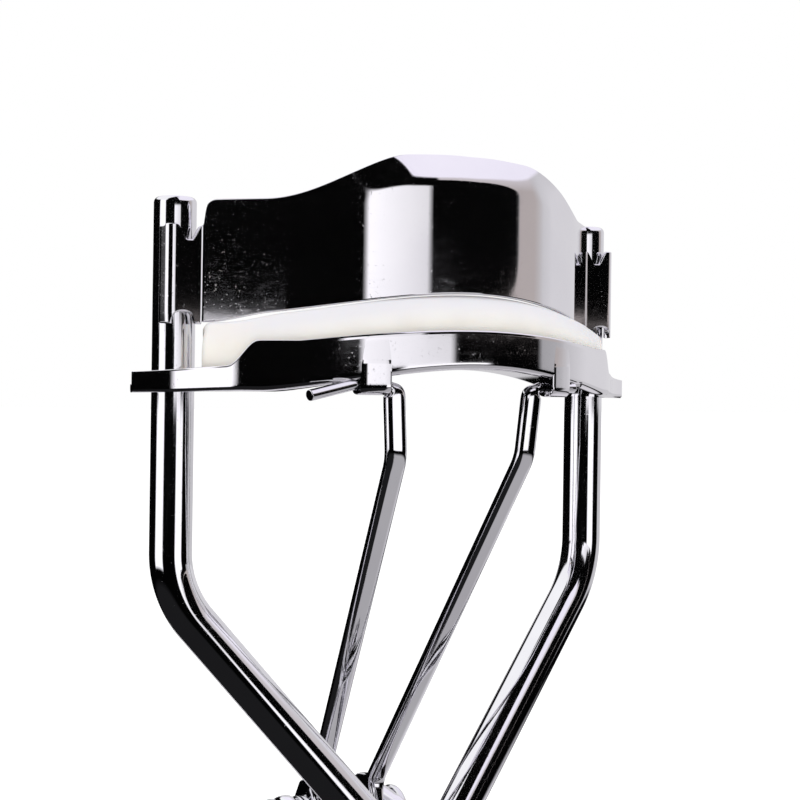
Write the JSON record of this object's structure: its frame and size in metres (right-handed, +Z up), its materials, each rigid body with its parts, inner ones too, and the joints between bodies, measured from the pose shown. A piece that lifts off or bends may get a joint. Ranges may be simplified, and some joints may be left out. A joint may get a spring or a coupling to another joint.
{
  "type": "eyelash curler",
  "caption": "Chromed wire eyelash curler: curved upper plate, lower jaw with a silicone pad sliding on two rails, and a lever with a finger ring linked to the jaw.",
  "frame": {"origin": "under the pivot rivet, midway between the two finger rings in depth, at the height of their lowest point", "axes": "+Z up along the rails, -Y towards the convex front of the jaws, +X to the right along the jaw seen from the front"},
  "size_m": [0.042, 0.0528, 0.1086],
  "materials": {
    "chromed_wire": "mirror-bright chrome plating with faint scuffs",
    "chromed_sheet": "mirror-bright chrome plating on stamped steel sheet",
    "chromed_hardware": "bright chrome plating on rivets, washers and sleeves",
    "pad_silicone": "satin warm white silicone"
  },
  "bodies": {
    "frame": {"frame_wire": "chromed_wire", "upper_plate": "chromed_sheet", "frame_ferrule": "chromed_hardware", "pivot_rivet": "chromed_hardware", "left_pivot_washer": "chromed_hardware", "right_pivot_washer": "chromed_hardware"},
    "lever": {"lever_wire": "chromed_wire", "lever_ferrule": "chromed_hardware", "link_rivet": "chromed_hardware", "link_spacer": "chromed_hardware", "left_link_washer": "chromed_hardware", "right_link_washer": "chromed_hardware"},
    "jaw": {"lower_jaw": "chromed_sheet", "silicone_pad": "pad_silicone"},
    "left_link": {"left_link": "chromed_wire"},
    "right_link": {"right_link": "chromed_wire"}
  },
  "joints": [
    {"name": "lever_hinge", "type": "hinge", "parent": "frame", "child": "lever", "pos_m": [0, 0, 0.055], "axis": [-1, 0, 0], "range_deg": [0, 30]},
    {"name": "jaw_slide", "type": "slide", "parent": "frame", "child": "jaw", "axis": [0, 0, -1], "range_m": [0, 0.0083]},
    {"name": "left_link_hinge", "type": "hinge", "parent": "jaw", "child": "left_link", "pos_m": [-0.00755, -0.003, 0.09255], "axis": [-1, 0, 0], "range_deg": [0, 0.45]},
    {"name": "right_link_hinge", "type": "hinge", "parent": "jaw", "child": "right_link", "pos_m": [0.00755, -0.003, 0.09255], "axis": [-1, 0, 0], "range_deg": [0, 0.45]}
  ],
  "couplings": [
    {"joint": "jaw_slide", "follows": "lever_hinge", "m_per_rad": 0.01566},
    {"joint": "left_link_hinge", "follows": "lever_hinge", "ratio": 0.013},
    {"joint": "right_link_hinge", "follows": "lever_hinge", "ratio": 0.013}
  ]
}
